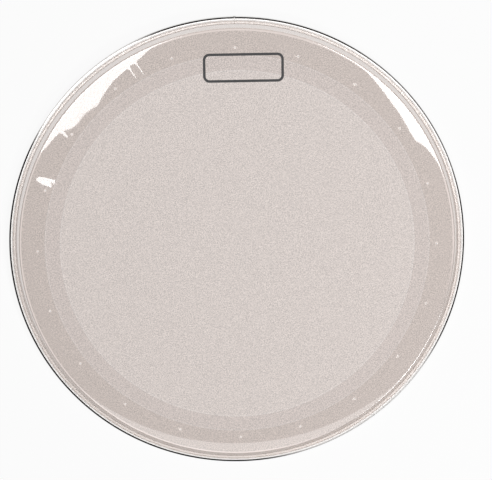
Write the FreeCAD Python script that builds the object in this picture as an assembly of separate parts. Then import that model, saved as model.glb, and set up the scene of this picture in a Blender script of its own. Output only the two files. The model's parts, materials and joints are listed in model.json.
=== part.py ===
import FreeCAD, Part
import math
import os

# A bass drum head: a plastic film with a formed collar, its edge potted in a rolled
# channel hoop, and a damping ring bonded by its inner edge under the film.
# Millimetres. +Z points out of the playing side, +Y to the hoop's seam, and the
# origin is the middle of the plane that the hoop rests on.

# Drum shell that the head is made for
SHELL_DIAMETER = 558.8
SHELL_CLEARANCE = 1.0

# Hoop, a C-shaped channel with its slot at the top
HOOP_WIDTH = 8.6
HOOP_HEIGHT = 12.0
HOOP_WALL = 0.9
HOOP_BEVEL = 1.0
SLOT_WIDTH = 2.0

# Weld where the two ends of the hoop meet
SEAM_GAP = 0.8
BEAD_WIDTH = 3.8
BEAD_HEIGHT = 0.8

# Film
FILM_THICKNESS = 0.254
COLLAR_RISE = 7.0
COLLAR_ANGLE = 39.5
CREST_RADIUS = 6.0
COLLAR_FOOT_DROP = 0.2
SKIRT_EDGE_GAP = 2.4

# Resin that fills the channel round the film's skirt, and shrinks from the walls
RESIN_RECESS = 1.2
RESIN_SHRINKAGE = 0.3

# Damping ring and the tape that bonds its inner edge
RING_THICKNESS = 0.254
RING_WIDTH = 47.6
RING_CREST_GAP = 1.9
TAPE_WIDTH = 19.05
TAPE_THICKNESS = 0.13

# Vents through the film and the loose part of the ring
VENT_COUNT = 20
VENT_DIAMETER = 1.6
VENT_SIDES = 8
VENT_BAND_SHARE = 0.31

# Shared by all pieces
CUT_OVERRUN = 1.0
BEVEL_LIMIT_SHARE = 0.9
FULL_TURN = 360.0
QUARTER_TURN = 90.0

AXIS = FreeCAD.Vector(0, 0, 1)
CENTRE = FreeCAD.Vector(0, 0, 0)

# Radii and heights that more than one piece takes its place from
hoop_inner_radius = SHELL_DIAMETER / 2 + SHELL_CLEARANCE
hoop_outer_radius = hoop_inner_radius + HOOP_WIDTH
slot_radius = (hoop_inner_radius + hoop_outer_radius) / 2
lip_width = (HOOP_WIDTH - SLOT_WIDTH) / 2
hoop_bevel = min(HOOP_BEVEL, lip_width * BEVEL_LIMIT_SHARE)

film_top = HOOP_HEIGHT + COLLAR_RISE
film_bottom = film_top - FILM_THICKNESS
skirt_radius = slot_radius + FILM_THICKNESS / 2
skirt_edge = HOOP_WALL + SKIRT_EDGE_GAP
foot_height = HOOP_HEIGHT - COLLAR_FOOT_DROP
collar_turn = math.radians(COLLAR_ANGLE)
slope_rise = film_top - CREST_RADIUS * (1 - math.cos(collar_turn)) - foot_height
slope_run = slope_rise / math.tan(collar_turn)
flat_radius = skirt_radius - slope_run - CREST_RADIUS * math.sin(collar_turn)

ring_outer_radius = flat_radius - RING_CREST_GAP
ring_inner_radius = ring_outer_radius - RING_WIDTH
tape_outer_radius = ring_inner_radius + TAPE_WIDTH
ring_top = film_bottom - TAPE_THICKNESS
ring_bottom = ring_top - RING_THICKNESS
vent_radius = tape_outer_radius + VENT_BAND_SHARE * (ring_outer_radius - tape_outer_radius)


def section_point(radius, height):
    """A point of a section, which lies in the XZ plane."""
    return FreeCAD.Vector(radius, 0, height)


def line(start, end):
    return Part.LineSegment(start, end).toShape()


def arc(centre, radius, start_angle, end_angle):
    """An arc of a section; angles in degrees from the outward direction towards +Z."""

    def on_arc(angle):
        turn = math.radians(angle)
        return centre + FreeCAD.Vector(radius * math.cos(turn), 0, radius * math.sin(turn))

    middle = (start_angle + end_angle) / 2
    return Part.Arc(on_arc(start_angle), on_arc(middle), on_arc(end_angle)).toShape()


def joined_face(edges):
    """The face inside a run of edges, with a line from each edge to the next."""
    chain = []
    for edge, following in zip(edges, edges[1:] + edges[:1]):
        end = edge.lastVertex(True).Point
        start = following.firstVertex(True).Point
        chain.append(edge)
        if end.distanceToPoint(start) > Part.Precision.confusion():
            chain.append(line(end, start))
    return Part.Face(Part.Wire(chain))


def rectangle(inner, outer, low, high):
    """A rectangular section."""
    corners = [(inner, low), (outer, low), (outer, high), (inner, high), (inner, low)]
    return Part.Face(Part.makePolygon([section_point(*corner) for corner in corners]))


def turned(section, angle=FULL_TURN):
    """The solid that a section sweeps as it turns about the head's axis."""
    return section.revolve(CENTRE, AXIS, angle)


def one_solid(shape):
    """The only solid of a shape, with the seams between its flush faces taken out."""
    return shape.removeSplitter().Solids[0]


def seam_angle():
    """The angle that the gap between the hoop's ends takes up."""
    return math.degrees(SEAM_GAP / hoop_outer_radius)


def channel_cavity(side_gap=0):
    """The section of the space inside the hoop's channel, or of what leaves a gap at its sides."""
    return rectangle(
        hoop_inner_radius + HOOP_WALL + side_gap,
        hoop_outer_radius - HOOP_WALL - side_gap,
        HOOP_WALL,
        HOOP_HEIGHT - HOOP_WALL,
    )


def hoop_section():
    """The C-shaped section of the hoop: a web, two walls and two lips beside the slot."""
    bevels = [
        line(
            section_point(hoop_outer_radius - hoop_bevel, 0),
            section_point(hoop_outer_radius, hoop_bevel),
        ),
        line(
            section_point(hoop_outer_radius, HOOP_HEIGHT - hoop_bevel),
            section_point(hoop_outer_radius - hoop_bevel, HOOP_HEIGHT),
        ),
        line(
            section_point(hoop_inner_radius + hoop_bevel, HOOP_HEIGHT),
            section_point(hoop_inner_radius, HOOP_HEIGHT - hoop_bevel),
        ),
        line(
            section_point(hoop_inner_radius, hoop_bevel),
            section_point(hoop_inner_radius + hoop_bevel, 0),
        ),
    ]
    slot = rectangle(
        slot_radius - SLOT_WIDTH / 2,
        slot_radius + SLOT_WIDTH / 2,
        HOOP_HEIGHT / 2,
        HOOP_HEIGHT + CUT_OVERRUN,
    )
    return joined_face(bevels).cut(channel_cavity()).cut(slot).Faces[0]


def film_section():
    """Half the film's section: the flat, the crest, the sloped collar and the skirt."""
    crest = section_point(flat_radius, film_top - CREST_RADIUS)
    slope = QUARTER_TURN - COLLAR_ANGLE
    inner_radius = skirt_radius - FILM_THICKNESS
    mitre = FILM_THICKNESS * (1 - math.sin(collar_turn)) / math.cos(collar_turn)
    return joined_face([
        line(section_point(0, film_bottom), section_point(0, film_top)),
        arc(crest, CREST_RADIUS, QUARTER_TURN, slope),
        line(section_point(skirt_radius, foot_height), section_point(skirt_radius, skirt_edge)),
        line(
            section_point(inner_radius, skirt_edge),
            section_point(inner_radius, foot_height - mitre),
        ),
        arc(crest, CREST_RADIUS - FILM_THICKNESS, slope, QUARTER_TURN),
    ])


def vents():
    """The punches for the ring of vents, one of them in line with the hoop's seam."""
    low = ring_bottom - CUT_OVERRUN
    corners = []
    for index in range(VENT_SIDES + 1):
        turn = 2 * math.pi * index / VENT_SIDES
        across = FreeCAD.Vector(math.cos(turn), math.sin(turn), 0) * (VENT_DIAMETER / 2)
        corners.append(FreeCAD.Vector(0, vent_radius, low) + across)
    outline = Part.Face(Part.makePolygon(corners))
    first = outline.extrude(AXIS * (film_top + CUT_OVERRUN - low))
    punches = []
    for index in range(VENT_COUNT):
        punch = first.copy()
        punch.rotate(CENTRE, AXIS, index * FULL_TURN / VENT_COUNT)
        punches.append(punch)
    return Part.makeCompound(punches)


def hoop_channel():
    """The rolled hoop, open by the seam gap at +Y."""
    hoop = turned(hoop_section(), FULL_TURN - seam_angle())
    hoop.rotate(CENTRE, AXIS, QUARTER_TURN + seam_angle() / 2)
    return hoop


def seam_weld():
    """The weld: it fills the gap between the hoop's ends and stands proud outside."""
    fill = turned(hoop_section(), seam_angle())
    fill.rotate(CENTRE, AXIS, QUARTER_TURN - seam_angle() / 2)
    bead_radius = (BEAD_WIDTH ** 2 / 4 + BEAD_HEIGHT ** 2) / (2 * BEAD_HEIGHT)
    bead = Part.makeCylinder(
        bead_radius,
        HOOP_HEIGHT - 2 * hoop_bevel,
        FreeCAD.Vector(0, hoop_outer_radius + BEAD_HEIGHT - bead_radius, hoop_bevel),
        AXIS,
    )
    rims = [edge for edge in bead.Edges if edge.isClosed()]
    bead = bead.makeChamfer(BEAD_HEIGHT, rims)
    bead = bead.cut(Part.makeCylinder(hoop_outer_radius, HOOP_HEIGHT))
    return one_solid(fill.fuse(bead))


def head_film():
    """The film: one sheet formed into a flat, a collar and a skirt, and vented."""
    return turned(film_section()).cut(vents())


def channel_resin():
    """The resin in the channel, on both sides of the film's skirt and under its edge."""
    level = rectangle(
        hoop_inner_radius,
        hoop_outer_radius,
        0,
        HOOP_HEIGHT - RESIN_RECESS,
    )
    section = channel_cavity(RESIN_SHRINKAGE).common(level).cut(film_section())
    return turned(section.Faces[0])


def damping_ring():
    """The ring of film that lies loose under the head's edge."""
    section = rectangle(ring_inner_radius, ring_outer_radius, ring_bottom, ring_top)
    return turned(section).cut(vents())


def ring_tape():
    """The band of tape that bonds the ring's inner edge to the film."""
    return turned(rectangle(ring_inner_radius, tape_outer_radius, ring_top, film_bottom))


os.makedirs("parts", exist_ok=True)
for piece in (hoop_channel, seam_weld, head_film, channel_resin, damping_ring, ring_tape):
    piece().exportStep("parts/" + piece.__name__ + ".step")
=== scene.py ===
"""A bass drum head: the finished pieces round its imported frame, and the stage that shows it."""

import json
import math
from typing import NamedTuple

import bmesh
import bpy
import numpy as np
from bpy.props import FloatProperty, FloatVectorProperty, IntProperty, PointerProperty
from mathutils import Matrix, Vector


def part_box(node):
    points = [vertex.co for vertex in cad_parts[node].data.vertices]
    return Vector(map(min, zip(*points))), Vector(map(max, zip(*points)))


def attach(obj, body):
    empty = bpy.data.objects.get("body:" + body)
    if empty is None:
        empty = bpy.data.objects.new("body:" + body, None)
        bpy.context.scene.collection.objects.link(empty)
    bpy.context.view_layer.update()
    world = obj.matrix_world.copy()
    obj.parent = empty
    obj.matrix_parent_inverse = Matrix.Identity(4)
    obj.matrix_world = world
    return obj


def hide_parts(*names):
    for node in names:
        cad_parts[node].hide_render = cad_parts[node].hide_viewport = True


bl_info = {
    "name": "Drum Head",
    "version": (1, 0, 0),
    "blender": (4, 5, 0),
    "location": "View3D > Sidebar > Drum Head",
    "description": "Dresses the packed frame of a bass drum head and sets it on a stage",
    "category": "Object",
}

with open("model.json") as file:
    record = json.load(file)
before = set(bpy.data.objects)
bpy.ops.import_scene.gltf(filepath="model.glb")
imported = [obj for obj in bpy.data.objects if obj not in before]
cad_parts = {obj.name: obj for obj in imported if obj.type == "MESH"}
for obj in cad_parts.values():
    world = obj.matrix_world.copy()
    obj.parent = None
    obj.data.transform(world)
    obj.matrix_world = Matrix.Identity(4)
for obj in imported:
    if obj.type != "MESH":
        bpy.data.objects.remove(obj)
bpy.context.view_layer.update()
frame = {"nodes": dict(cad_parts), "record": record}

MILLIMETRE = 0.001
BODY = "root"
FULL_TURN = 2 * math.pi
QUARTER_TURN = FULL_TURN / 4


def mount(name):
    """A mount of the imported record, by name."""
    return next(entry for entry in frame["record"]["mounts"] if entry["name"] == name)


def node_points(node):
    """The vertices of a CAD node."""
    return np.array([vertex.co for vertex in frame["nodes"][node].data.vertices])


def reach(node):
    """The distances from the head's axis of a CAD node's vertices."""
    points = node_points(node)
    return np.hypot(points[:, 0], points[:, 1])


def heights(node):
    """The lowest and highest point of a CAD node."""
    low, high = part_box(node)
    return low.z, high.z


# Places that the frame gives, in metres
hoop_inner = mount("shell_seat")["dims"]["r_mm"] * MILLIMETRE
hoop_outer = mount("hoop_outside")["dims"]["r_mm"] * MILLIMETRE
hoop_top = mount("counterhoop_seat")["pos_m"][2]
slot_middle = (hoop_inner + hoop_outer) / 2
skirt_edge, film_top = heights("head_film")
skirt_radius = reach("head_film").max()
ring_bottom, ring_top = heights("damping_ring")
ring_inner = reach("damping_ring").min()
ring_outer = reach("damping_ring").max()
tape_bottom, tape_top = heights("ring_tape")
tape_outer = reach("ring_tape").max()
film_thickness = film_top - tape_top


def vent_corners():
    """The vertices of the damping ring that lie on its vents."""
    distance = reach("damping_ring")
    margin = MILLIMETRE
    off_edges = (distance > ring_inner + margin) & (distance < ring_outer - margin)
    return node_points("damping_ring")[off_edges]


vent_reach = np.hypot(*vent_corners()[:, :2].T)
vent_radius = (vent_reach.min() + vent_reach.max()) / 2
vent_diameter = vent_reach.max() - vent_reach.min()


class HeadSizes(bpy.types.PropertyGroup):
    """Sizes of the finished pieces, beside those that the frame gives."""

    crest_radius: FloatProperty(
        name="Crest radius", description="Bend of the film at the top of its collar",
        default=0.006, unit="LENGTH")
    collar_angle: FloatProperty(
        name="Collar angle", description="Slope of the film's collar",
        default=math.radians(39.5), subtype="ANGLE")
    foot_radius: FloatProperty(
        name="Foot radius", description="Bend of the film where its collar enters the hoop's slot",
        default=0.0009, unit="LENGTH")
    foot_drop: FloatProperty(
        name="Foot drop", description="Depth of the collar's foot below the top of the hoop",
        default=0.0002, unit="LENGTH")
    edge_sag: FloatProperty(
        name="Edge sag", description="How far the slack film sinks at its crest",
        default=0.00086, unit="LENGTH")
    sag_width: FloatProperty(
        name="Sag width", description="Width of the band in which the film sinks to its crest",
        default=0.030, unit="LENGTH")
    frost_edge: FloatProperty(
        name="Frost edge", description="How far past the start of its crest the film is frosted",
        default=0.0018, unit="LENGTH")
    vent_count: IntProperty(
        name="Vents", description="Number of vents through the film and the ring",
        default=20, min=1)
    hoop_wall: FloatProperty(
        name="Hoop wall", description="Thickness of the hoop's rolled sheet",
        default=0.0009, unit="LENGTH")
    outer_bend: FloatProperty(
        name="Outer bend", description="Radius of the bends at the hoop's outside",
        default=0.0014, unit="LENGTH")
    inner_bend: FloatProperty(
        name="Inner bend", description="Radius of the bends at the hoop's inside",
        default=0.0007, unit="LENGTH")
    lip_edge: FloatProperty(
        name="Lip edge", description="Radius of the sheet's own edges beside the slot",
        default=0.0003, unit="LENGTH")
    slot_width: FloatProperty(
        name="Slot width", description="Gap between the hoop's two lips",
        default=0.0020, unit="LENGTH")
    meniscus: FloatProperty(
        name="Meniscus", description="How far the cast resin creeps up the film and the lips",
        default=0.0001, unit="LENGTH")
    seam_gap: FloatProperty(
        name="Seam gap", description="Gap between the hoop's ends, which the weld fills",
        default=0.0008, unit="LENGTH")
    bead_width: FloatProperty(
        name="Bead width", description="Width of the weld outside the hoop",
        default=0.0038, unit="LENGTH")
    bead_height: FloatProperty(
        name="Bead height", description="How far the weld stands proud of the hoop",
        default=0.0008, unit="LENGTH")
    panel_width: FloatProperty(
        name="Panel width", description="Width of the blank printed panel",
        default=0.100, unit="LENGTH")
    panel_height: FloatProperty(
        name="Panel height", description="Height of the blank printed panel",
        default=0.036, unit="LENGTH")
    panel_border: FloatProperty(
        name="Panel border", description="Width of the panel's printed border",
        default=0.0032, unit="LENGTH")
    panel_corner: FloatProperty(
        name="Panel corner", description="Radius of the panel's corners",
        default=0.008, unit="LENGTH")
    panel_across: FloatProperty(
        name="Panel offset",
        description="Distance of the panel's middle to the right of the line to the seam",
        default=0.0101, unit="LENGTH")
    panel_distance: FloatProperty(
        name="Panel distance", description="Distance of the panel's middle from the head's middle",
        default=0.2273, unit="LENGTH")


def colour(name, description, default):
    """A colour of a finish, as a property."""
    return FloatVectorProperty(
        name=name, description=description, default=default, size=3, min=0, max=1, subtype="COLOR")


class HeadColours(bpy.types.PropertyGroup):
    """Colours of the finishes."""

    film_middle: colour(
        "Film", "Frosted film over nothing but air", (0.664, 0.588, 0.552))
    film_bonded: colour(
        "Film over the tape", "Frosted film where the tape is stuck to it", (0.600, 0.519, 0.484))
    film_loose: colour(
        "Film over the ring", "Frosted film over the ring's loose part", (0.552, 0.470, 0.429))
    # Painted highlight: a pale band along the film's crest
    crest_highlight_tint: colour(
        "Crest", "Frosted film whitened by the bend of its crest", (0.82, 0.71, 0.66))
    # Painted shade: a dark line along the crest where the frost ends
    frost_edge_shade_tint: colour(
        "Edge of the frost", "Frosting at its edge, where it is thickest", (0.42, 0.365, 0.34))
    film_clear: colour("Collar", "Clear film of the collar", (0.85, 0.62, 0.50))
    # Pale rings round the vents
    vent_rim: colour("Vent rims", "Film whitened by the punch", (0.98, 0.86, 0.79))
    hoop: colour("Hoop", "Satin aluminium", (0.645, 0.625, 0.612))
    # Painted shade: a dark outline on the hoop's outer bends, and a faint darkening on its inner
    # ones
    hoop_outline_shade: colour(
        "Hoop bends", "Aluminium burnished dark by the forming rolls", (0.015, 0.0145, 0.014))
    weld: colour("Weld", "Dull aluminium of the weld", (0.45, 0.44, 0.43))
    resin: colour("Resin", "Cast resin in the channel", (0.90, 0.86, 0.835))
    ring: colour("Damping ring", "Film of the damping ring", (0.58, 0.53, 0.50))
    tape: colour("Tape", "Bonding tape", (0.66, 0.62, 0.58))
    ink: colour("Ink", "Print of the blank panel", (0.004, 0.004, 0.005))
    floor: colour("Floor", "Plain pale floor", (0.90, 0.90, 0.90))


class HeadStage(bpy.types.PropertyGroup):
    """Where the camera and the lamps stand."""

    camera_distance: FloatProperty(
        name="Camera distance", description="Distance of the camera from the head's middle",
        default=1.990, unit="LENGTH")
    camera_tilt: FloatProperty(
        name="Camera tilt",
        description="Angle between the head's axis and the line from its middle to the camera",
        default=math.radians(12.67), subtype="ANGLE")
    camera_bearing: FloatProperty(
        name="Camera bearing", description="Turn of the camera from the seam towards the right",
        default=math.radians(-6.07), subtype="ANGLE")
    camera_roll: FloatProperty(
        name="Camera roll", description="Turn of the camera about its line of sight",
        default=math.radians(-0.79), subtype="ANGLE")
    camera_lens: FloatProperty(
        name="Lens", description="Focal length on a 36 mm wide sensor, in millimetres",
        default=114.0)
    aim_across: FloatProperty(
        name="Aim across",
        description="Place of the middle of the picture, to the right of the head's middle",
        default=0.0109, unit="LENGTH")
    aim_up: FloatProperty(
        name="Aim up",
        description="Place of the middle of the picture, from the head's middle towards the seam",
        default=0.0053, unit="LENGTH")
    lamp_height: FloatProperty(
        name="Lamp height", description="Height of the softboxes above the floor",
        default=1.957, unit="LENGTH")
    fill: FloatProperty(
        name="Fill", description="Brightness of the surroundings as a light on dull surfaces",
        default=0.25)


def sizes():
    return bpy.context.scene.drum_head_sizes


def colours():
    return bpy.context.scene.drum_head_colours


def stage():
    return bpy.context.scene.drum_head_stage


# Meshes

LATHE_STEPS = 540
ARC_STEPS = 6
SHARP_ANGLE = math.radians(40)
MERGE_DISTANCE = 1e-7
PUNCH_SIDES = 16
PUNCH_LENGTH = 10 * MILLIMETRE


def rounded(corners, closed=True, steps=ARC_STEPS):
    """The points of a section: its corners, with an arc in place of each that has a radius."""
    points = []
    for index, (across, up, radius) in enumerate(corners):
        corner = Vector((across, up))
        at_end = not closed and index in (0, len(corners) - 1)
        if radius == 0 or at_end:
            points.append(corner)
            continue
        back = (Vector(corners[index - 1][:2]) - corner).normalized()
        ahead = (Vector(corners[(index + 1) % len(corners)][:2]) - corner).normalized()
        half_angle = back.angle(ahead) / 2
        middle = corner + (back + ahead).normalized() * radius / math.sin(half_angle)
        start = corner + back * radius / math.tan(half_angle) - middle
        end = corner + ahead * radius / math.tan(half_angle) - middle
        bend = end.angle_signed(start)
        for step in range(steps + 1):
            points.append(middle + Matrix.Rotation(bend * step / steps, 2) @ start)
    return np.array([tuple(point) for point in points])


def thickened(path, thickness):
    """A closed section from a path, with the given thickness on the path's right."""
    run = np.gradient(path, axis=0)
    run /= np.linalg.norm(run, axis=1)[:, None]
    right = np.stack([run[:, 1], -run[:, 0]], axis=1)
    other = path + right * thickness
    other[:, 0] = np.maximum(other[:, 0], 0)
    return np.concatenate([path, other[::-1]])


def add_object(name, mesh):
    """A new object in the scene, shaded smooth but for its sharp edges."""
    mesh.shade_smooth()
    mesh.set_sharp_from_angle(angle=SHARP_ANGLE)
    piece = bpy.data.objects.new(name, mesh)
    bpy.context.scene.collection.objects.link(piece)
    return piece


def mesh_from(name, bm):
    """A mesh from a bmesh, with its faces turned outwards."""
    bmesh.ops.recalc_face_normals(bm, faces=bm.faces)
    mesh = bpy.data.meshes.new(name)
    bm.to_mesh(mesh)
    bm.free()
    return mesh


def even_turns():
    """The angles of a full turn's rows, evenly spaced."""
    return FULL_TURN * np.arange(LATHE_STEPS) / LATHE_STEPS


def skin(bm, rows, closed):
    """Faces between looped rows of vertices, which run on to the first row or have end faces."""
    pairs = list(zip(rows, rows[1:] + rows[:1]))
    for row, following in pairs if closed else pairs[:-1]:
        for index in range(len(row)):
            before = index - 1
            bm.faces.new((row[before], row[index], following[index], following[before]))
    if not closed:
        bm.faces.new(rows[0])
        bm.faces.new(rows[-1])


def lathe(name, section, turns, closed=True, sink=None):
    """A mesh that a closed section of (radius, height) points makes about the head's axis.

    It has a row of points at each of the turns, and runs from the last to the first where it
    is closed. sink gives how far a point sinks, from its distance, angle and height.
    """
    bm = bmesh.new()
    rows = []
    for turn in turns:
        drop = sink(section[:, 0], turn, section[:, 1]) if sink else np.zeros(len(section))
        row = []
        for (radius, height), fall in zip(section, drop):
            place = (radius * math.cos(turn), radius * math.sin(turn), height - fall)
            row.append(bm.verts.new(place))
        rows.append(row)
    skin(bm, rows, closed)
    bmesh.ops.remove_doubles(bm, verts=bm.verts, dist=MERGE_DISTANCE)
    return mesh_from(name, bm)


def cut(piece, cutter):
    """Cuts one object out of another, and removes the cutter."""
    modifier = piece.modifiers.new("Cut", "BOOLEAN")
    modifier.operation = "DIFFERENCE"
    modifier.solver = "EXACT"
    modifier.object = cutter
    evaluated = piece.evaluated_get(bpy.context.evaluated_depsgraph_get())
    cut_mesh = bpy.data.meshes.new_from_object(evaluated)
    piece.modifiers.clear()
    piece.data = cut_mesh
    bpy.data.objects.remove(cutter)


def vent_punches():
    """The round punches that make the vents, as one object."""
    bm = bmesh.new()
    for index in range(sizes().vent_count):
        turn = QUARTER_TURN + FULL_TURN * index / sizes().vent_count
        place = Vector((vent_radius * math.cos(turn), vent_radius * math.sin(turn), film_top))
        bmesh.ops.create_cone(
            bm, cap_ends=True, segments=PUNCH_SIDES, radius1=vent_diameter / 2,
            radius2=vent_diameter / 2, depth=PUNCH_LENGTH, matrix=Matrix.Translation(place))
    return add_object("vent_punches", mesh_from("vent_punches", bm))


def dress(piece, material, node=None):
    """Gives a piece its finish, sets it on the head and lets it stand for its CAD node."""
    piece.data.materials.clear()
    piece.data.materials.append(material)
    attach(piece, BODY)
    if node:
        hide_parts(node)


def smooth_step(low, high, value):
    share = np.clip((value - low) / (high - low), 0, 1)
    return share * share * (3 - 2 * share)


# Shape of the film

# Points along the film: few where it is still, and more from STILL_END sag widths inside the crest
STILL_END = 1.4
STILL_STEPS = 14
SINKING_STEPS = 52
BEND_STEPS = 10

# The sag is deepest a little past the crest, and fades out down the collar from CREST_SHARE of
# the crest's radius under the film's top
SAG_OVERRUN = 2 * MILLIMETRE
SAG_POWER = 3
CREST_SHARE = 0.25


def shoulder_distance():
    """Where the film's flat and its collar would meet if the crest were sharp."""
    size = sizes()
    foot = hoop_top - size.foot_drop
    return skirt_radius - (film_top - foot) / math.tan(size.collar_angle)


def crest_distance():
    """Where the flat of the film ends."""
    size = sizes()
    return shoulder_distance() - size.crest_radius * math.tan(size.collar_angle / 2)


def film_path():
    """The top of the film as (distance, height) points, from its middle to its skirt's edge."""
    size = sizes()
    bends = rounded(
        [
            (0, film_top, 0),
            (shoulder_distance(), film_top, size.crest_radius),
            (skirt_radius, hoop_top - size.foot_drop, size.foot_radius),
            (skirt_radius, skirt_edge, 0),
        ],
        closed=False,
        steps=BEND_STEPS,
    )
    crest = bends[1, 0]
    still = np.linspace(0, crest - size.sag_width * STILL_END, STILL_STEPS)
    sinking = np.linspace(still[-1], crest, SINKING_STEPS)[1:-1]
    flat = np.concatenate([still, sinking])
    return np.concatenate([np.stack([flat, np.full_like(flat, film_top)], axis=1), bends[1:]])


def between(reached, start, end, start_fade, end_fade):
    """1 between a start and an end, with a soft step inside each."""
    from_start = smooth_step(start, start + start_fade, reached)
    return from_start * smooth_step(end, end - end_fade, reached)


class Dent(NamedTuple):
    """A shallow dent in the slack film, or a bulge if its depth is negative.

    In degrees and millimetres, like all slack.
    """

    turn: float
    distance: float
    length: float
    width: float
    depth: float

    def sink(self, distance, turn):
        reached = distance / MILLIMETRE
        along = (reached - self.distance) / self.length
        aside = math.radians(math.degrees(turn) - self.turn) * reached / self.width
        return self.depth * MILLIMETRE * np.exp(-(along ** 2 + aside ** 2) / 2)


class Crease(NamedTuple):
    """A raised crease from the tape towards the crest, which leans as it goes."""

    turn: float
    lean: float
    height: float
    width: float
    start: float
    end: float
    start_fade: float = 4
    end_fade: float = 12

    def sink(self, distance, turn):
        reached = distance / MILLIMETRE
        middle = self.turn + self.lean * (reached - self.start) / (self.end - self.start)
        aside = np.radians(math.degrees(turn) - middle) * reached / self.width
        kept = between(reached, self.start, self.end, self.start_fade, self.end_fade)
        return -self.height * MILLIMETRE * np.exp(-aside ** 2 / 2) * kept


class ThumbMark(NamedTuple):
    """A buckle that tips the film to one side, as a thumb leaves it."""

    turn: float
    width: float
    depth: float
    start: float
    end: float
    start_fade: float = 2.5
    end_fade: float = 32

    def sink(self, distance, turn):
        reached = distance / MILLIMETRE
        aside = np.radians(math.degrees(turn) - self.turn) * reached / self.width
        kept = between(reached, self.start, self.end, self.start_fade, self.end_fade)
        return -self.depth * MILLIMETRE * aside * np.exp((1 - aside ** 2) / 2) * kept


# Slack of the film between the tape and the crest
SLACK = (
    Dent(turn=28, distance=270, length=5, width=13, depth=-0.13),
    Dent(turn=42, distance=266, length=8, width=15, depth=0.08),
    Dent(turn=119.5, distance=264, length=4.5, width=21, depth=-0.11),
    Dent(turn=128, distance=263, length=8.5, width=19, depth=-0.06),
    Dent(turn=129, distance=268, length=6, width=5.5, depth=0.02),
    Dent(turn=140.5, distance=261, length=6, width=13, depth=0.14),
    Dent(turn=152, distance=269, length=4.5, width=8, depth=-0.05),
    Crease(turn=116.5, lean=0.7, height=0.10, width=1.5, start=240, end=269),
    Crease(turn=119, lean=0.4, height=0.09, width=1.6, start=238, end=269),
    Crease(turn=146, lean=-0.8, height=0.075, width=1.5, start=251, end=266),
    ThumbMark(turn=159.5, width=8.5, depth=0.50, start=243, end=281),
)

# Sectors in which the film has CREASE_STEPS rows in place of one, in degrees
CREASED_SECTORS = ((113, 123), (142, 148), (152, 167))
CREASE_STEPS = 6


def film_turns():
    """The angles of the film's rows, closer together where it is creased."""
    turns = []
    for step in range(LATHE_STEPS):
        middle = 360 * (step + 0.5) / LATHE_STEPS
        creased = any(low < middle < high for low, high in CREASED_SECTORS)
        parts = CREASE_STEPS if creased else 1
        turns.extend(FULL_TURN * (step + part / parts) / LATHE_STEPS for part in range(parts))
    return np.array(turns)


def film_sink(distance, turn, height):
    """How far the slack film sinks near its crest, fading out down the collar."""
    size = sizes()
    end = crest_distance() + SAG_OVERRUN
    share = np.clip((distance - end + size.sag_width) / size.sag_width, 0, 1)
    sunk = size.edge_sag * share ** SAG_POWER
    for slack in SLACK:
        sunk = sunk + slack.sink(distance, turn)
    return sunk * smooth_step(hoop_top, film_top - size.crest_radius * CREST_SHARE, height)


# Finishes

WHITE = (1, 1, 1)

# The range that a noise fills, and the narrower one that most of it lies in
NOISE_RANGE = (0.25, 0.75)
NOISE_CORE = (0.3, 0.7)


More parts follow.
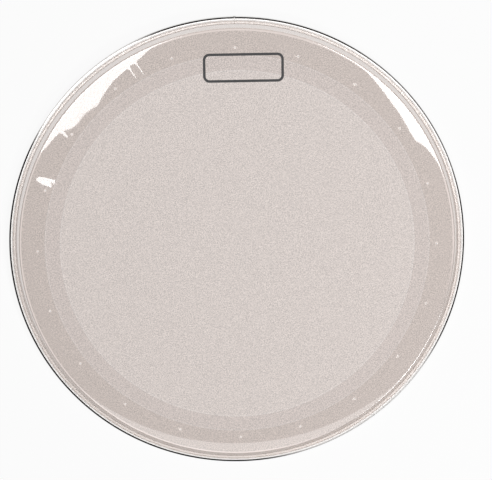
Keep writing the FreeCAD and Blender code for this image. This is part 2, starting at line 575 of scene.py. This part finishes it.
class Finish:
    """A node material in the making: its nodes, and the shader at their end."""

    def __init__(self, name):
        self.material = bpy.data.materials.new(name)
        self.material.use_nodes = True
        self.tree = self.material.node_tree
        self.shader = self.tree.nodes["Principled BSDF"]
        coordinates = self.add("ShaderNodeTexCoord")
        self.place = coordinates.outputs["Object"]

    def add(self, kind, **settings):
        node = self.tree.nodes.new(kind)
        for name, value in settings.items():
            setattr(node, name, value)
        return node

    def plug(self, value, socket):
        """Sets a socket to a value, or links it to an output."""
        if isinstance(value, bpy.types.NodeSocket):
            self.tree.links.new(value, socket)
        else:
            socket.default_value = value

    def math(self, operation, *values):
        node = self.add("ShaderNodeMath", operation=operation)
        for value, socket in zip(values, node.inputs):
            self.plug(value, socket)
        return node.outputs[0]

    def distance(self, middle=(0, 0, 0)):
        """The distance from the head's axis, or from a line beside it."""
        offset = self.add("ShaderNodeVectorMath", operation="SUBTRACT")
        self.plug(self.place, offset.inputs[0])
        offset.inputs[1].default_value = middle
        flat = self.add("ShaderNodeVectorMath", operation="MULTIPLY")
        self.plug(offset.outputs["Vector"], flat.inputs[0])
        flat.inputs[1].default_value = (1, 1, 0)
        length = self.add("ShaderNodeVectorMath", operation="LENGTH")
        self.plug(flat.outputs["Vector"], length.inputs[0])
        return length.outputs["Value"]

    def parts(self):
        """The X, Y and Z of the place."""
        node = self.add("ShaderNodeSeparateXYZ")
        self.plug(self.place, node.inputs[0])
        return node.outputs

    def turn(self):
        """The angle about the head's axis."""
        parts = self.parts()
        return self.math("ARCTAN2", parts["Y"], parts["X"])

    def step(self, value, low, high, first=0.0, last=1.0):
        """A soft step of a value from first to last."""
        node = self.add("ShaderNodeMapRange", interpolation_type="SMOOTHSTEP")
        for entry, socket in zip((value, low, high, first, last), node.inputs):
            self.plug(entry, socket)
        return node.outputs["Result"]

    def step_at(self, value, line, span, first=0.0, last=1.0):
        """A soft step of a value over a span that is measured from a line."""
        start, end = span
        return self.step(value, line + start, line + end, first, last)

    def noise(self, scale, detail=2.0, roughness=0.5, place=None):
        node = self.add("ShaderNodeTexNoise")
        self.plug(self.place if place is None else place, node.inputs["Vector"])
        node.inputs["Scale"].default_value = scale
        node.inputs["Detail"].default_value = detail
        node.inputs["Roughness"].default_value = roughness
        return node.outputs["Fac"]

    def mix(self, factor, first, second):
        """A colour between two, by a factor of 0 to 1."""
        node = self.add("ShaderNodeMix", data_type="RGBA")
        self.plug(factor, node.inputs["Factor"])
        sockets = [entry for entry in node.inputs if entry.type == "RGBA"]
        for value, socket in zip((first, second), sockets):
            self.plug(value if isinstance(value, bpy.types.NodeSocket) else (*value, 1), socket)
        return next(entry for entry in node.outputs if entry.type == "RGBA")

    def shaded(self, base, factor, depth):
        """A colour that a factor of 0 to 1 makes up to depth darker or paler."""
        level = self.step(factor, *NOISE_RANGE, 1 - depth, 1 + depth)
        node = self.add("ShaderNodeVectorMath", operation="SCALE")
        self.plug(base, node.inputs[0])
        self.plug(level, node.inputs["Scale"])
        return node.outputs["Vector"]

    def varied(self, factor, low, high):
        """A value that a factor of 0 to 1 takes from low to high."""
        return self.step(factor, *NOISE_CORE, low, high)

    def bump(self, height, strength, distance):
        node = self.add("ShaderNodeBump")
        node.inputs["Strength"].default_value = strength
        node.inputs["Distance"].default_value = distance
        self.plug(height, node.inputs["Height"])
        self.plug(node.outputs["Normal"], self.shader.inputs["Normal"])

    def set(self, **values):
        """Sets or links the shader's sockets, named with underscores."""
        for name, value in values.items():
            self.plug(value, self.shader.inputs[name.replace("_", " ")])


class LineGap(NamedTuple):
    """A stretch of the rim, in degrees, where a share of a painted line round it is missing; the
    lines are painted highlights and painted shade.
    """

    turn: float
    half_length: float
    share: float


def with_gaps(finish, line, line_gaps):
    """A painted line round the rim, as a factor of 0 to 1, without its gaps."""
    for line_gap in line_gaps:
        off_middle = finish.math("SUBTRACT", finish.turn(), math.radians(line_gap.turn))
        half_length = math.radians(line_gap.half_length)
        left = finish.step(
            finish.math("ABSOLUTE", off_middle), half_length / 2, half_length, 1 - line_gap.share, 1.0)
        line = finish.math("MULTIPLY", line, left)
    return line


# Share of white in the thin painted highlight on the middle's side of the tape's and the ring's
# edges
BORDER_SHEEN = 0.11

# Opacity of the clear film beyond the frost
CLEAR_ALPHA = 0.16

# Where each change on the film starts and ends, from the border that it follows
BORDER_BLUR = (-0.2 * MILLIMETRE, 0.2 * MILLIMETRE)
BORDER_SHEEN_END = (0.8 * MILLIMETRE, 1.6 * MILLIMETRE)
CREST_HIGHLIGHT_START = (-3.1 * MILLIMETRE, -2.3 * MILLIMETRE)
FROST_EDGE_SHADE_START = (-1.2 * MILLIMETRE, -0.6 * MILLIMETRE)
FROST_END = (-0.3 * MILLIMETRE, 0.7 * MILLIMETRE)
RESIN_START = (-1.1 * MILLIMETRE, -0.5 * MILLIMETRE)

# Where the pale ring round a vent fades, in vent diameters from its middle
VENT_RIM_END = (0.9, 1.3)

# Stretches without the painted highlight on the crest, and with less of the painted shade at the
# edge of the frost
CREST_HIGHLIGHT_GAPS = (LineGap(turn=-40, half_length=44, share=1.0),)
FROST_EDGE_SHADE_GAPS = (LineGap(turn=82, half_length=40, share=0.7),)


def vent_rims(finish, distance):
    """1 on the pale rings round the film's vents, and 0 elsewhere."""
    pitch = FULL_TURN / sizes().vent_count
    count = finish.math("DIVIDE", finish.turn(), pitch)
    off_line = finish.math("SUBTRACT", count, finish.math("ROUND", count))
    aside = finish.math("MULTIPLY", off_line, pitch * vent_radius)
    along = finish.math("SUBTRACT", distance, vent_radius)
    squares = finish.math("ADD", finish.math("POWER", aside, 2), finish.math("POWER", along, 2))
    start, end = (share * vent_diameter for share in VENT_RIM_END)
    return finish.step(finish.math("SQRT", squares), start, end, 1.0, 0.0)


def film_finish():
    """Glossy clear film, frosted underneath up to the crest, with pale rings round its vents, a
    painted highlight and a line of painted shade along its crest, and thin painted highlights
    inside the tape's and the ring's edges.
    """
    tint = colours()
    finish = Finish("frosted_film")
    distance = finish.distance()
    tone = tint.film_middle
    for border, beyond in ((ring_inner, tint.film_bonded), (tape_outer, tint.film_loose)):
        tone = finish.mix(finish.step_at(distance, border, BORDER_BLUR), tone, beyond)
    # Painted highlight: a thin pale line on the middle's side of the tape's and the ring's edges
    for border in (ring_inner, tape_outer):
        inside = finish.math("SUBTRACT", border, distance)
        line = finish.math(
            "MULTIPLY",
            finish.step(inside, *BORDER_BLUR),
            finish.step(inside, *BORDER_SHEEN_END, BORDER_SHEEN, 0.0))
        tone = finish.mix(line, tone, WHITE)
    grain = finish.noise(scale=800, detail=3, roughness=0.7)
    tone = finish.shaded(tone, grain, depth=0.42)
    frost_edge = crest_distance() + sizes().frost_edge
    # Painted highlight: a pale band along the crest
    crest = finish.step_at(distance, frost_edge, CREST_HIGHLIGHT_START)
    tone = finish.mix(with_gaps(finish, crest, CREST_HIGHLIGHT_GAPS), tone, tint.crest_highlight_tint)
    # Painted shade: a dark line along the crest where the frost ends
    rim = finish.step_at(distance, frost_edge, FROST_EDGE_SHADE_START)
    tone = finish.mix(with_gaps(finish, rim, FROST_EDGE_SHADE_GAPS), tone, tint.frost_edge_shade_tint)
    clearing = finish.step_at(distance, frost_edge, FROST_END)
    tone = finish.mix(clearing, tone, tint.film_clear)
    potted = finish.step_at(distance, skirt_radius, RESIN_START)
    tone = finish.mix(potted, tone, tint.resin)
    tone = finish.mix(vent_rims(finish, distance), tone, tint.vent_rim)
    finish.set(
        Base_Color=tone,
        Roughness=0.55,
        Coat_Weight=1.0,
        Coat_Roughness=0.03,
        Coat_IOR=1.85,
        Alpha=finish.math("MAXIMUM", potted, finish.step(clearing, 0.0, 1.0, 1.0, CLEAR_ALPHA)),
    )
    finish.bump(finish.noise(scale=1500, detail=2), strength=0.25, distance=0.1 * MILLIMETRE)
    return finish.material


# Fineness of the hoop's rolled lines: across them per metre, and along them per radian
LINES_ACROSS = 6000
LINES_ALONG = 12


def rolled_lines(finish):
    """Fine lines round the hoop, as a factor of 0 to 1."""
    place = finish.add("ShaderNodeCombineXYZ")
    for value, fineness, socket in zip(
        (finish.distance(), finish.parts()["Z"], finish.turn()),
        (LINES_ACROSS, LINES_ACROSS, LINES_ALONG),
        place.inputs,
    ):
        finish.plug(finish.math("MULTIPLY", value, fineness), socket)
    return finish.noise(scale=1.0, detail=3, place=place.outputs["Vector"])


# The painted shade at the outside starts at a circle off the axis, so it is wider at one side
HOOP_SHADE_MIDDLE = (0.1 * MILLIMETRE, 0.35 * MILLIMETRE, 0)

# Where the painted shade starts or ends, from the hoop's outside, its inside, and its top and
# bottom
OUTER_HOOP_SHADE_START = (-2.4 * MILLIMETRE, -1.9 * MILLIMETRE)
INNER_HOOP_SHADE_END = (0.4 * MILLIMETRE, 1.0 * MILLIMETRE)
BEND_HOOP_SHADE_START = (-1.1 * MILLIMETRE, -0.7 * MILLIMETRE)
# How much painted shade lies on the hoop's inside, and the stretches where the outer outline of
# painted shade is weaker
INNER_HOOP_SHADE = 0.25
HOOP_SHADE_GAPS = (
    LineGap(turn=36, half_length=28, share=0.25),
    LineGap(turn=131, half_length=24, share=1.0),
    LineGap(turn=-54, half_length=33, share=0.6),
)


def hoop_finish():
    """Satin aluminium with fine lines from rolling, and painted shade on its bends: dark on the
    outer ones, faint on the inner ones.
    """
    finish = Finish("hoop_aluminium")
    lines = rolled_lines(finish)
    marks = finish.noise(scale=60, detail=4, roughness=0.6)
    half_height = hoop_top / 2
    off_middle = finish.math("ABSOLUTE", finish.math("SUBTRACT", finish.parts()["Z"], half_height))
    at_bend = finish.step_at(off_middle, half_height, BEND_HOOP_SHADE_START)
    outside = finish.step_at(finish.distance(HOOP_SHADE_MIDDLE), hoop_outer, OUTER_HOOP_SHADE_START)
    outside = with_gaps(finish, outside, HOOP_SHADE_GAPS)
    inside = finish.step_at(finish.distance(), hoop_inner, INNER_HOOP_SHADE_END, INNER_HOOP_SHADE, 0.0)
    # Painted shade on the bends, which also takes away their metal look
    bend = finish.math("MULTIPLY", finish.math("MAXIMUM", outside, inside), at_bend)
    tone = finish.mix(bend, colours().hoop, colours().hoop_outline_shade)
    finish.set(
        Base_Color=finish.shaded(tone, lines, depth=0.05),
        Metallic=finish.math("SUBTRACT", 1.0, bend),
        Specular_IOR_Level=0.05,
        Roughness=finish.varied(marks, low=0.34, high=0.46),
    )
    finish.bump(lines, strength=0.12, distance=0.05 * MILLIMETRE)
    return finish.material


def weld_finish():
    """Dull, ground aluminium."""
    finish = Finish("weld_aluminium")
    grain = finish.noise(scale=2500, detail=3)
    finish.set(
        Base_Color=finish.shaded(colours().weld[:], grain, depth=0.2),
        Metallic=1.0,
        Roughness=finish.varied(grain, low=0.45, high=0.65),
    )
    finish.bump(grain, strength=0.4, distance=0.1 * MILLIMETRE)
    return finish.material


def resin_finish():
    """Cast resin, slightly cloudy."""
    finish = Finish("potting_resin")
    cloud = finish.noise(scale=180, detail=4, roughness=0.6)
    finish.set(
        Base_Color=finish.shaded(colours().resin[:], cloud, depth=0.12),
        Roughness=0.25,
        IOR=1.5,
    )
    finish.bump(finish.noise(scale=500), strength=0.15, distance=0.2 * MILLIMETRE)
    return finish.material


def ring_finish():
    """Clear film, hazed a little where it rubs."""
    finish = Finish("clear_film")
    haze = finish.noise(scale=250, detail=4, roughness=0.6)
    finish.set(
        Base_Color=finish.shaded(colours().ring[:], haze, depth=0.1),
        Roughness=finish.varied(haze, low=0.15, high=0.35),
        Alpha=0.8,
    )
    return finish.material


def tape_finish():
    """Matte tape with a fine grain."""
    finish = Finish("bonding_tape")
    grain = finish.noise(scale=1800, detail=3)
    finish.set(Base_Color=finish.shaded(colours().tape[:], grain, depth=0.1), Roughness=0.7)
    finish.bump(grain, strength=0.3, distance=0.05 * MILLIMETRE)
    return finish.material


def ink_finish():
    """Screen-printed black, a little uneven."""
    finish = Finish("panel_ink")
    grain = finish.noise(scale=900, detail=3)
    finish.set(
        Base_Color=finish.shaded(colours().ink[:], grain, depth=0.4),
        Roughness=finish.varied(grain, low=0.35, high=0.5),
    )
    return finish.material


# Pieces

SEAM_ROWS = 3
BEAD_ROWS = 49
BEAD_COLUMNS = 17
BEAD_END_POWER = 0.35
RIPPLE_COUNT = 9
RIPPLE_DEPTH = 0.12
RING_STEPS = 25
TAPE_STEPS = 12
PANEL_CORNER_STEPS = 12
INK_THICKNESS = 0.03 * MILLIMETRE


def lip_edges():
    """The distances of the edges of the hoop's inner and outer lip."""
    half_slot = sizes().slot_width / 2
    return slot_middle - half_slot, slot_middle + half_slot


def hoop_section():
    """The C-shaped section of the hoop: a web, two walls and two lips beside the slot."""
    size = sizes()
    wall = size.hoop_wall
    lip_inner, lip_outer = lip_edges()
    return rounded([
        (hoop_inner, 0, size.inner_bend),
        (hoop_outer, 0, size.outer_bend),
        (hoop_outer, hoop_top, size.outer_bend),
        (lip_outer, hoop_top, size.lip_edge),
        (lip_outer, hoop_top - wall, size.lip_edge),
        (hoop_outer - wall, hoop_top - wall, 0),
        (hoop_outer - wall, wall, 0),
        (hoop_inner + wall, wall, 0),
        (hoop_inner + wall, hoop_top - wall, 0),
        (lip_inner, hoop_top - wall, size.lip_edge),
        (lip_inner, hoop_top, size.lip_edge),
        (hoop_inner, hoop_top, size.inner_bend),
    ])


class DRUMHEAD_OT_hoop(bpy.types.Operator):
    """Makes the rolled hoop: a C-shaped channel, open at its slot and its seam."""

    bl_idname = "drumhead.hoop"
    bl_label = "Hoop"

    def execute(self, context):
        gap = sizes().seam_gap / hoop_outer
        turns = QUARTER_TURN + np.linspace(gap / 2, FULL_TURN - gap / 2, LATHE_STEPS + 1)
        mesh = lathe("hoop", hoop_section(), turns, closed=False)
        dress(add_object("hoop", mesh), hoop_finish(), "hoop_channel")
        return {"FINISHED"}


class DRUMHEAD_OT_weld(bpy.types.Operator):
    """Makes the weld: it fills the hoop's seam, and its rippled bead stands proud outside."""

    bl_idname = "drumhead.weld"
    bl_label = "Weld"

    def execute(self, context):
        size = sizes()
        half_width = size.bead_width / 2
        gap = size.seam_gap / hoop_outer
        turns = QUARTER_TURN + np.linspace(-gap / 2, gap / 2, SEAM_ROWS)
        fill = lathe("fill", hoop_section(), turns, closed=False)
        rises = np.linspace(size.outer_bend, hoop_top - size.outer_bend, BEAD_ROWS)
        crosses = np.linspace(-1, 1, BEAD_COLUMNS)
        bm = bmesh.new()
        bm.from_mesh(fill)
        bpy.data.meshes.remove(fill)
        rows = []
        for rise in rises:
            along = (rise - rises[0]) / (rises[-1] - rises[0])
            end = math.sin(math.pi * along) ** BEAD_END_POWER
            ripple = 1 - RIPPLE_DEPTH * abs(math.sin(math.pi * RIPPLE_COUNT * along))
            row = []
            for cross in crosses:
                proud = size.bead_height * math.sqrt(max(0, 1 - cross * cross)) * end * ripple
                across = cross * half_width
                wall = math.sqrt(hoop_outer ** 2 - across ** 2)
                row.append(bm.verts.new((across, wall + proud, rise)))
            rows.append(row)
        skin(bm, rows, closed=False)
        dress(
            add_object("seam_bead", mesh_from("seam_bead", bm)),
            weld_finish(), "seam_weld")
        return {"FINISHED"}


class DRUMHEAD_OT_resin(bpy.types.Operator):
    """Makes the resin in the channel, which creeps up the film and the walls as it is cast."""

    bl_idname = "drumhead.resin"
    bl_label = "Resin"

    def execute(self, context):
        size = sizes()
        wall = size.hoop_wall
        inner = hoop_inner + wall
        outer = hoop_outer - wall
        under_lips = hoop_top - wall
        lip_inner, lip_outer = lip_edges()
        skirt_inner = skirt_radius - film_thickness
        corners = [
            (inner, wall, 0),
            (outer, wall, 0),
            (outer, under_lips, 0),
            (lip_outer, under_lips, 0),
            (lip_outer, hoop_top - size.meniscus, 0),
            ((lip_outer + skirt_radius) / 2, hoop_top - 2 * size.meniscus, size.meniscus),
            (skirt_radius, hoop_top - size.meniscus, 0),
            (skirt_radius, skirt_edge, 0),
            (skirt_inner, skirt_edge, 0),
            (skirt_inner, hoop_top - 2 * size.foot_drop, 0),
            (lip_inner, hoop_top - 2 * size.foot_drop, 0),
            (lip_inner, under_lips, 0),
            (inner, under_lips, 0),
        ]
        mesh = lathe("resin", rounded(corners), even_turns())
        dress(add_object("resin", mesh), resin_finish(), "channel_resin")
        return {"FINISHED"}


class DRUMHEAD_OT_film(bpy.types.Operator):
    """Makes the film: its flat, its collar and its skirt, with its vents."""

    bl_idname = "drumhead.film"
    bl_label = "Film"

    def execute(self, context):
        mesh = lathe("film", thickened(film_path(), film_thickness), film_turns(), sink=film_sink)
        film = add_object("film", mesh)
        cut(film, vent_punches())
        dress(film, film_finish(), "head_film")
        return {"FINISHED"}


def band(name, inner, outer, bottom, top, steps):
    """The mesh of a flat band under the film, which sinks with it."""
    across = np.linspace(inner, outer, steps)
    path = np.stack([across, np.full_like(across, top)], axis=1)
    return lathe(name, thickened(path, top - bottom), film_turns(), sink=film_sink)


class DRUMHEAD_OT_ring(bpy.types.Operator):
    """Makes the damping ring under the film's edge, with its vents."""

    bl_idname = "drumhead.ring"
    bl_label = "Damping ring"

    def execute(self, context):
        mesh = band("ring", ring_inner, ring_outer, ring_bottom, ring_top, RING_STEPS)
        ring = add_object("ring", mesh)
        cut(ring, vent_punches())
        dress(ring, ring_finish(), "damping_ring")
        return {"FINISHED"}


class DRUMHEAD_OT_tape(bpy.types.Operator):
    """Makes the band of tape that bonds the ring to the film."""

    bl_idname = "drumhead.tape"
    bl_label = "Tape"

    def execute(self, context):
        mesh = band("tape", ring_inner, tape_outer, tape_bottom, tape_top, TAPE_STEPS)
        dress(add_object("tape", mesh), tape_finish(), "ring_tape")
        return {"FINISHED"}


class DRUMHEAD_OT_panel(bpy.types.Operator):
    """Prints a blank panel on the film: a plain border round an empty field."""

    bl_idname = "drumhead.panel"
    bl_label = "Blank panel"

    def outline(self, inset):
        """The panel's rounded outline, moved in by an inset."""
        size = sizes()
        half_width = size.panel_width / 2 - inset
        half_height = size.panel_height / 2 - inset
        radius = size.panel_corner - inset
        corners = [
            (-half_width, -half_height, radius),
            (half_width, -half_height, radius),
            (half_width, half_height, radius),
            (-half_width, half_height, radius),
        ]
        outline = rounded(corners, steps=PANEL_CORNER_STEPS)
        return outline + (size.panel_across, size.panel_distance)

    def execute(self, context):
        border = sizes().panel_border
        ink_top = film_top + INK_THICKNESS
        bm = bmesh.new()
        loops = []
        for inset, height in (
            (0, film_top), (0, ink_top), (border, ink_top), (border, film_top),
        ):
            outline = self.outline(inset)
            loops.append([bm.verts.new((across, up, height)) for across, up in outline])
        skin(bm, loops, closed=True)
        panel = add_object("blank_panel", mesh_from("blank_panel", bm))
        dress(panel, ink_finish())
        return {"FINISHED"}


# Stage

class Softbox(NamedTuple):
    """A softbox that faces down: two corners in metres, and a turn about the first in degrees."""

    name: str
    near: tuple
    far: tuple
    radiance: float
    turn: float = 0.0


SOFTBOXES = (
    Softbox("softbox_right", near=(0.545, -0.14), far=(1.16, 0.85), radiance=7.0, turn=1),
    Softbox("softbox_left", near=(-0.30, -0.07), far=(-0.93, 0.85), radiance=5.8, turn=-4.5),
    Softbox("softbox_side", near=(1.00, -1.15), far=(1.90, -2.15), radiance=8.5),
    Softbox("softbox_front", near=(-0.80, -1.06), far=(0.80, -1.91), radiance=1.5),
)
SENSOR_WIDTH = 36
FLOOR_SIZE = 12
FLOOR_DROP = 0.2 * MILLIMETRE

# Share of plain white in the floor's look, under the head and outside it; the smaller share under
# the head paints shade there
FLOOR_WHITENESS = (0.67, 0.86)


def background_rays(tree):
    """1 for rays that see the background, straight or in metal and glass, and 0 for the rest."""
    path = tree.nodes.new("ShaderNodeLightPath")
    total = path.outputs["Is Camera Ray"]
    for name in ("Is Glossy Ray", "Is Transmission Ray"):
        node = tree.nodes.new("ShaderNodeMath")
        node.operation = "MAXIMUM"
        tree.links.new(total, node.inputs[0])
        tree.links.new(path.outputs[name], node.inputs[1])
        total = node.outputs[0]
    return total


def set_world():
    """White surroundings to look at, which light dull surfaces as a soft fill."""
    world = bpy.data.worlds.new("surroundings")
    world.use_nodes = True
    tree = world.node_tree
    background = tree.nodes["Background"]
    background.inputs["Color"].default_value = (*WHITE, 1)
    strength = tree.nodes.new("ShaderNodeMapRange")
    tree.links.new(background_rays(tree), strength.inputs["Value"])
    strength.inputs["To Min"].default_value = stage().fill
    strength.inputs["To Max"].default_value = 1.0
    tree.links.new(strength.outputs["Result"], background.inputs["Strength"])
    bpy.context.scene.world = world


def add_floor():
    """The floor: a wide square that lies just under the head."""
    bm = bmesh.new()
    bmesh.ops.create_grid(bm, x_segments=1, y_segments=1, size=FLOOR_SIZE / 2)
    bmesh.ops.translate(bm, vec=(0, 0, -FLOOR_DROP), verts=bm.verts)
    mesh = bpy.data.meshes.new("floor")
    bm.to_mesh(mesh)
    bm.free()
    mesh.materials.append(floor_finish())
    floor = bpy.data.objects.new("floor", mesh)
    bpy.context.scene.collection.objects.link(floor)
    return floor


def floor_finish():
    """A dull pale floor that looks white round the head, with painted shade under the head, and
    keeps the shadows on it.
    """
    material = bpy.data.materials.new("floor")
    material.use_nodes = True
    tree = material.node_tree
    tree.nodes.remove(tree.nodes["Principled BSDF"])
    dull = tree.nodes.new("ShaderNodeBsdfDiffuse")
    dull.inputs["Color"].default_value = (*colours().floor, 1)
    white = tree.nodes.new("ShaderNodeEmission")
    coordinates = tree.nodes.new("ShaderNodeTexCoord")
    distance = tree.nodes.new("ShaderNodeVectorMath")
    distance.operation = "LENGTH"
    tree.links.new(coordinates.outputs["Object"], distance.inputs[0])
    whiteness = tree.nodes.new("ShaderNodeMapRange")
    whiteness.interpolation_type = "SMOOTHSTEP"
    tree.links.new(distance.outputs["Value"], whiteness.inputs["Value"])
    whiteness.inputs["From Min"].default_value = hoop_inner
    whiteness.inputs["From Max"].default_value = hoop_outer
    shaded_under_head, outside = FLOOR_WHITENESS
    whiteness.inputs["To Min"].default_value = shaded_under_head
    whiteness.inputs["To Max"].default_value = outside
    share = tree.nodes.new("ShaderNodeMath")
    share.operation = "MULTIPLY"
    tree.links.new(background_rays(tree), share.inputs[0])
    tree.links.new(whiteness.outputs["Result"], share.inputs[1])
    mix = tree.nodes.new("ShaderNodeMixShader")
    tree.links.new(share.outputs[0], mix.inputs["Fac"])
    tree.links.new(dull.outputs[0], mix.inputs[1])
    tree.links.new(white.outputs[0], mix.inputs[2])
    tree.links.new(mix.outputs[0], tree.nodes["Material Output"].inputs["Surface"])
    return material


def add_softbox(box):
    """Hangs a softbox at the height of the lamps."""
    across, along = box.far[0] - box.near[0], box.far[1] - box.near[1]
    lamp = bpy.data.lights.new(box.name, "AREA")
    lamp.shape = "RECTANGLE"
    lamp.size = abs(across)
    lamp.size_y = abs(along)
    lamp.energy = box.radiance * math.pi * abs(across) * abs(along)
    softbox = bpy.data.objects.new(box.name, lamp)
    corner = Matrix.Translation((*box.near, stage().lamp_height))
    turned = corner @ Matrix.Rotation(math.radians(box.turn), 4, "Z")
    softbox.matrix_world = turned @ Matrix.Translation((across / 2, along / 2, 0))
    softbox.visible_camera = False
    bpy.context.scene.collection.objects.link(softbox)


def add_camera():
    """The camera, at the photograph's angle."""
    view = stage()
    sight = Vector((
        math.sin(view.camera_tilt) * math.sin(view.camera_bearing),
        math.sin(view.camera_tilt) * math.cos(view.camera_bearing),
        math.cos(view.camera_tilt),
    ))
    place = sight * view.camera_distance
    back = (place - Vector((view.aim_across, view.aim_up, 0))).normalized()
    right = Vector((0, 1, 0)).cross(back).normalized()
    up = back.cross(right)
    lens = bpy.data.cameras.new("camera")
    lens.sensor_width = SENSOR_WIDTH
    lens.lens = view.camera_lens
    camera = bpy.data.objects.new("camera", lens)
    facing = Matrix((right, up, back)).transposed().to_4x4()
    turned = facing @ Matrix.Rotation(view.camera_roll, 4, "Z")
    camera.matrix_world = Matrix.Translation(place) @ turned
    bpy.context.scene.collection.objects.link(camera)
    bpy.context.scene.camera = camera


class DRUMHEAD_OT_stage(bpy.types.Operator):
    """Sets the floor, the surroundings, the softboxes and the camera."""

    bl_idname = "drumhead.stage"
    bl_label = "Stage"

    def execute(self, context):
        context.scene.view_settings.view_transform = "Standard"
        set_world()
        floor = add_floor()
        for box in SOFTBOXES:
            add_softbox(box)
        add_camera()
        return {"FINISHED"}


# Sidebar

OPERATORS = (
    DRUMHEAD_OT_hoop,
    DRUMHEAD_OT_weld,
    DRUMHEAD_OT_resin,
    DRUMHEAD_OT_film,
    DRUMHEAD_OT_ring,
    DRUMHEAD_OT_tape,
    DRUMHEAD_OT_panel,
    DRUMHEAD_OT_stage,
)


class DRUMHEAD_PT_sidebar(bpy.types.Panel):
    """Lists the head's pieces and settings."""

    bl_idname = "DRUMHEAD_PT_sidebar"
    bl_label = "Drum Head"
    bl_space_type = "VIEW_3D"
    bl_region_type = "UI"
    bl_category = "Drum Head"

    def draw(self, context):
        for operator in OPERATORS:
            self.layout.operator(operator.bl_idname)
        for settings in (sizes(), colours(), stage()):
            box = self.layout.box()
            for name in settings.bl_rna.properties.keys():
                if name not in ("rna_type", "name"):
                    box.prop(settings, name)


CLASSES = (HeadSizes, HeadColours, HeadStage, *OPERATORS, DRUMHEAD_PT_sidebar)


def register():
    for entry in CLASSES:
        bpy.utils.register_class(entry)
    bpy.types.Scene.drum_head_sizes = PointerProperty(type=HeadSizes)
    bpy.types.Scene.drum_head_colours = PointerProperty(type=HeadColours)
    bpy.types.Scene.drum_head_stage = PointerProperty(type=HeadStage)


def unregister():
    del bpy.types.Scene.drum_head_stage
    del bpy.types.Scene.drum_head_colours
    del bpy.types.Scene.drum_head_sizes
    for entry in reversed(CLASSES):
        bpy.utils.unregister_class(entry)


def main():
    register()
    bpy.ops.drumhead.hoop()
    bpy.ops.drumhead.weld()
    bpy.ops.drumhead.resin()
    bpy.ops.drumhead.film()
    bpy.ops.drumhead.ring()
    bpy.ops.drumhead.tape()
    bpy.ops.drumhead.panel()
    bpy.ops.drumhead.stage()


if __name__ == "__main__":
    main()
